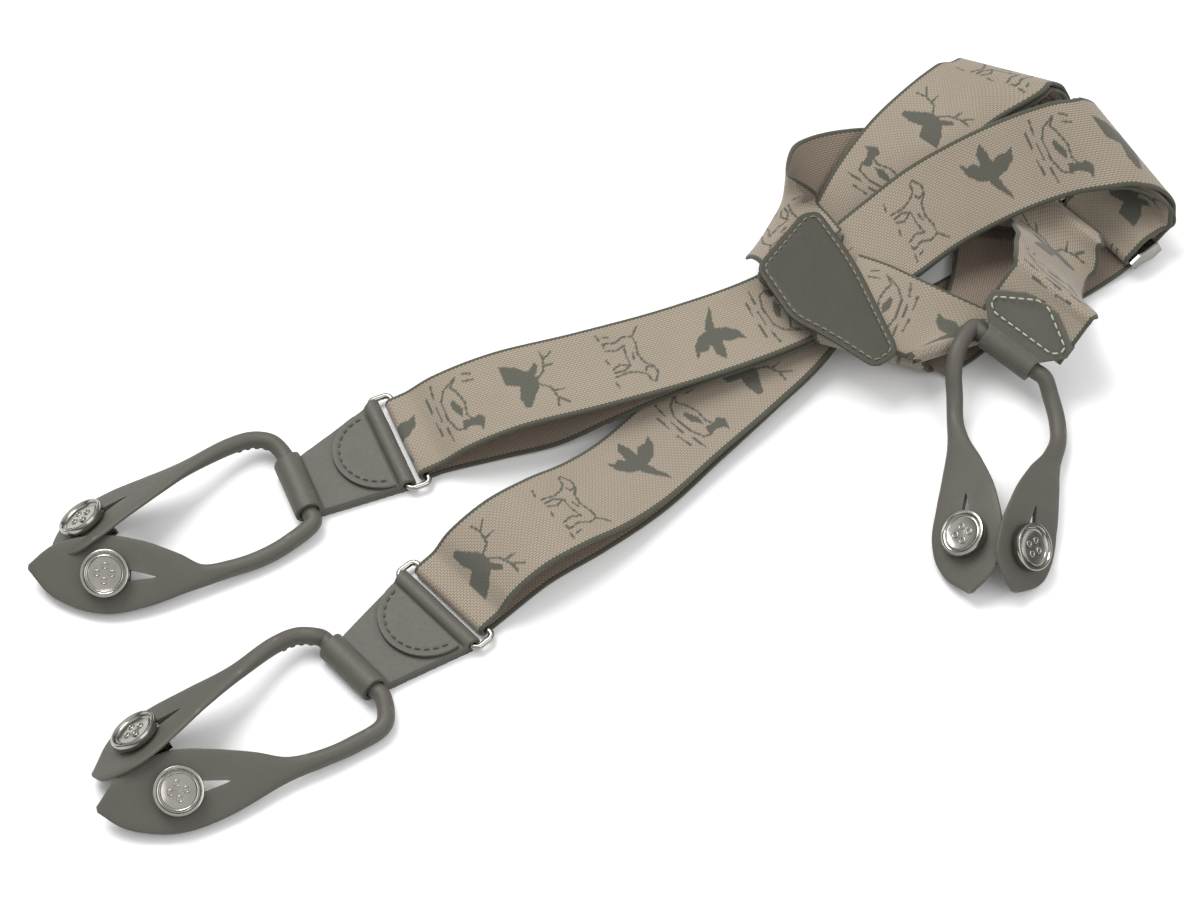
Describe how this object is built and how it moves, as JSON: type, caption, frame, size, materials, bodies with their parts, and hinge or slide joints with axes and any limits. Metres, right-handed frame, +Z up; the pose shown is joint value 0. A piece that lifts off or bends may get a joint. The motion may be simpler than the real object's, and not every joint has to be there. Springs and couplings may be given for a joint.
{
  "type": "button-loop suspenders",
  "caption": "Y-back woven elastic suspenders lying gathered, with leather button loops on rings and tab, and clip-on metal buttons.",
  "frame": {"origin": "centre of the lying set in plan, on the flat surface it lies on", "axes": "+X from the front button ends towards the gathered webbing, +Y away from the back end, +Z up"},
  "size_m": [0.4102, 0.3232, 0.0502],
  "materials": {
    "webbing": "ribbed woven elastic",
    "loop_leather": "smooth matt leather, cut edges",
    "patch_leather": "smooth matt leather",
    "nickel": "polished nickel plate"
  },
  "bodies": {
    "webbing": {"front_strap_left": "webbing", "front_strap_right": "webbing", "back_strap": "webbing", "y_patch_front": "patch_leather", "y_patch_back": "patch_leather", "back_tab": "loop_leather", "adjuster_left_frame": "nickel", "adjuster_left_pin": "nickel", "adjuster_right_frame": "nickel", "adjuster_right_pin": "nickel"},
    "adjuster_left_lever": {"adjuster_left_lever": "nickel"},
    "adjuster_right_lever": {"adjuster_right_lever": "nickel"},
    "ring_left": {"ring_left": "nickel"},
    "ear_left": {"ear_left": "loop_leather", "ear_flap_left": "loop_leather"},
    "ring_right": {"ring_right": "nickel"},
    "ear_right": {"ear_right": "loop_leather", "ear_flap_right": "loop_leather"},
    "loop_left": {"button_loop_left": "loop_leather"},
    "clip_left_a": {"clip_left_a_button": "nickel", "clip_left_a_jaw": "nickel", "clip_left_a_pin": "nickel"},
    "clip_left_a_lever": {"clip_left_a_lever": "nickel"},
    "clip_left_b": {"clip_left_b_button": "nickel", "clip_left_b_jaw": "nickel", "clip_left_b_pin": "nickel"},
    "clip_left_b_lever": {"clip_left_b_lever": "nickel"},
    "loop_right": {"button_loop_right": "loop_leather"},
    "clip_right_a": {"clip_right_a_button": "nickel", "clip_right_a_jaw": "nickel", "clip_right_a_pin": "nickel"},
    "clip_right_a_lever": {"clip_right_a_lever": "nickel"},
    "clip_right_b": {"clip_right_b_button": "nickel", "clip_right_b_jaw": "nickel", "clip_right_b_pin": "nickel"},
    "clip_right_b_lever": {"clip_right_b_lever": "nickel"},
    "loop_back": {"button_loop_back": "loop_leather"},
    "clip_back_a": {"clip_back_a_button": "nickel", "clip_back_a_jaw": "nickel", "clip_back_a_pin": "nickel"},
    "clip_back_a_lever": {"clip_back_a_lever": "nickel"},
    "clip_back_b": {"clip_back_b_button": "nickel", "clip_back_b_jaw": "nickel", "clip_back_b_pin": "nickel"},
    "clip_back_b_lever": {"clip_back_b_lever": "nickel"}
  },
  "joints": [
    {"name": "adjuster_left_lever_hinge", "type": "hinge", "parent": "webbing", "child": "adjuster_left_lever", "pos_m": [0.18711, 0.09539, 0.00573], "axis": [0.6, -0.8, 0], "range_deg": [0, 60]},
    {"name": "adjuster_right_lever_hinge", "type": "hinge", "parent": "webbing", "child": "adjuster_right_lever", "pos_m": [0.15595, 0.13141, 0.00195], "axis": [0.9755, -0.2201, 0], "range_deg": [0, 60]},
    {"name": "ring_left_in_webbing", "type": "hinge", "parent": "webbing", "child": "ring_left", "pos_m": [-0.07617, -0.00309, 0.00325], "axis": [-0.3907, 0.9205, 0], "range_deg": [-15, 40]},
    {"name": "ear_left_on_ring", "type": "hinge", "parent": "ring_left", "child": "ear_left", "pos_m": [-0.08353, -0.00622, 0.00325], "axis": [-0.3907, 0.9205, 0], "range_deg": [-20, 60]},
    {"name": "ring_right_in_webbing", "type": "hinge", "parent": "webbing", "child": "ring_right", "pos_m": [-0.05867, -0.07029, 0.00325], "axis": [-0.682, 0.7314, 0], "range_deg": [-15, 40]},
    {"name": "ear_right_on_ring", "type": "hinge", "parent": "ring_right", "child": "ear_right", "pos_m": [-0.06452, -0.07575, 0.00325], "axis": [-0.682, 0.7314, 0], "range_deg": [-20, 60]},
    {"name": "loop_left_through_tunnel", "type": "slide", "parent": "ear_left", "child": "loop_left", "axis": [0.3907, -0.9205, 0], "range_m": [-0.002, 0.002]},
    {"name": "clip_left_a_swivel", "type": "hinge", "parent": "loop_left", "child": "clip_left_a", "pos_m": [-0.17737, -0.06509, 0.0099], "axis": [-0.0276, -0.4709, 0.8817], "range_deg": [-12, 12]},
    {"name": "clip_left_a_lever_hinge", "type": "hinge", "parent": "clip_left_a", "child": "clip_left_a_lever", "pos_m": [-0.18079, -0.06205, 0.00457], "axis": [0.0479, 0.8804, 0.4717], "range_deg": [0, 45]},
    {"name": "clip_left_b_swivel", "type": "hinge", "parent": "loop_left", "child": "clip_left_b", "pos_m": [-0.18587, -0.04569, 0.0112], "axis": [-0.4793, 0.3095, 0.8212], "range_deg": [-12, 12]},
    {"name": "clip_left_b_lever_hinge", "type": "hinge", "parent": "clip_left_b", "child": "clip_left_b_lever", "pos_m": [-0.18577, -0.04965, 0.00539], "axis": [-0.4042, 0.7527, -0.5197], "range_deg": [0, 45]},
    {"name": "loop_right_through_tunnel", "type": "slide", "parent": "ear_right", "child": "loop_right", "axis": [0.682, -0.7314, 0], "range_m": [-0.002, 0.002]},
    {"name": "clip_right_a_swivel", "type": "hinge", "parent": "loop_right", "child": "clip_right_a", "pos_m": [-0.14587, -0.14909, 0.0099], "axis": [0.1071, -0.4684, 0.877], "range_deg": [-12, 12]},
    {"name": "clip_right_a_lever_hinge", "type": "hinge", "parent": "clip_right_a", "child": "clip_right_a_lever", "pos_m": [-0.15001, -0.14708, 0.00459], "axis": [-0.2016, 0.8535, 0.4805], "range_deg": [0, 45]},
    {"name": "clip_right_b_swivel", "type": "hinge", "parent": "loop_right", "child": "clip_right_b", "pos_m": [-0.15987, -0.13109, 0.0126], "axis": [-0.4686, 0.3163, 0.8248], "range_deg": [-12, 12]},
    {"name": "clip_right_b_lever_hinge", "type": "hinge", "parent": "clip_right_b", "child": "clip_right_b_lever", "pos_m": [-0.1599, -0.135, 0.00676], "axis": [-0.3842, 0.7678, -0.5127], "range_deg": [0, 45]},
    {"name": "loop_back_through_tunnel", "type": "slide", "parent": "webbing", "child": "loop_back", "axis": [0.7757, -0.6045, -0.1813], "range_m": [-0.001, 0.001]},
    {"name": "clip_back_a_swivel", "type": "hinge", "parent": "loop_back", "child": "clip_back_a", "pos_m": [0.11843, -0.05059, 0.0111], "axis": [-0.5472, -0.1482, 0.8238], "range_deg": [-8, 8]},
    {"name": "clip_back_a_lever_hinge", "type": "hinge", "parent": "clip_back_a", "child": "clip_back_a_lever", "pos_m": [0.1217, -0.05322, 0.00547], "axis": [-0.8369, 0.1075, -0.5366], "range_deg": [0, 28]},
    {"name": "clip_back_b_swivel", "type": "hinge", "parent": "loop_back", "child": "clip_back_b", "pos_m": [0.13803, -0.05509, 0.0111], "axis": [0.6234, -0.3436, 0.7024], "range_deg": [-8, 8]},
    {"name": "clip_back_b_lever_hinge", "type": "hinge", "parent": "clip_back_b", "child": "clip_back_b_lever", "pos_m": [0.13322, -0.05637, 0.00615], "axis": [-0.7252, 0.0821, 0.6837], "range_deg": [0, 28]}
  ]
}
